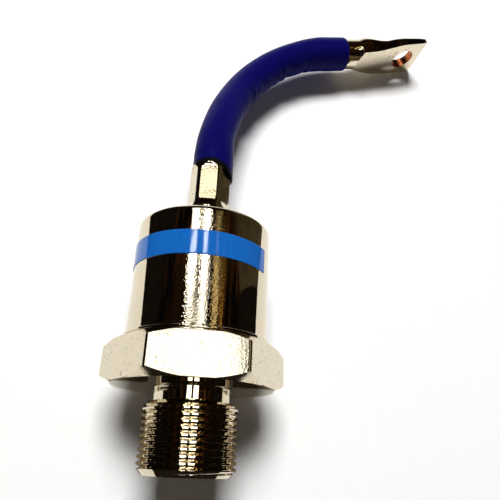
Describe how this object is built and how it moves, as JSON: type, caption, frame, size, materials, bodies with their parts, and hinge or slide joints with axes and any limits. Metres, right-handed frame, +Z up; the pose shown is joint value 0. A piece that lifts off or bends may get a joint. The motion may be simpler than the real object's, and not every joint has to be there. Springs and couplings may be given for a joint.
{
  "type": "stud diode",
  "caption": "Power rectifier diode with a hexagonal threaded stud base, a round metal can, a crimped top tube and a short sleeved lead that ends in a flat pressed lug",
  "frame": {"origin": "on the table under the middle of the rigid part's length, with the diode lying on one flat of its hexagon", "axes": "+Y along the diode's axis from the stud toward the lead, +X to the right, +Z up"},
  "size_m": [0.1042, 0.159, 0.041],
  "materials": {
    "nickel_plate": "bright nickel plate, finely pitted",
    "lug_plate": "dull nickel plate on copper",
    "label_film": "printed blue film",
    "seal_glass": "dark sealing glass",
    "spring_steel": "plain hardened steel",
    "white_plastic": "turned fluoropolymer",
    "molybdenum": "lapped",
    "silicon": "polished",
    "silicone": "cast silicone",
    "copper": "bare copper",
    "mica": "pressed mica",
    "sleeve_film": "satin blue sleeve"
  },
  "bodies": {
    "root": {"stud_base": "nickel_plate", "weld_ring": "nickel_plate", "can": "nickel_plate", "crimp_tube": "nickel_plate", "cable_lug": "lug_plate", "label_band": "label_film", "glass_seal": "seal_glass", "spring_housing": "spring_steel", "locating_sleeve": "white_plastic", "lower_plate": "molybdenum", "silicon_wafer": "silicon", "edge_coating": "silicone", "upper_plate": "molybdenum", "contact_post": "copper", "insulating_washer": "mica", "pressure_washer": "spring_steel", "disc_spring_1": "spring_steel", "disc_spring_2": "spring_steel", "disc_spring_3": "spring_steel", "clamp_ring": "spring_steel", "inner_lead": "copper", "outer_lead": "copper", "lead_sleeve": "sleeve_film"}
  },
  "joints": []
}
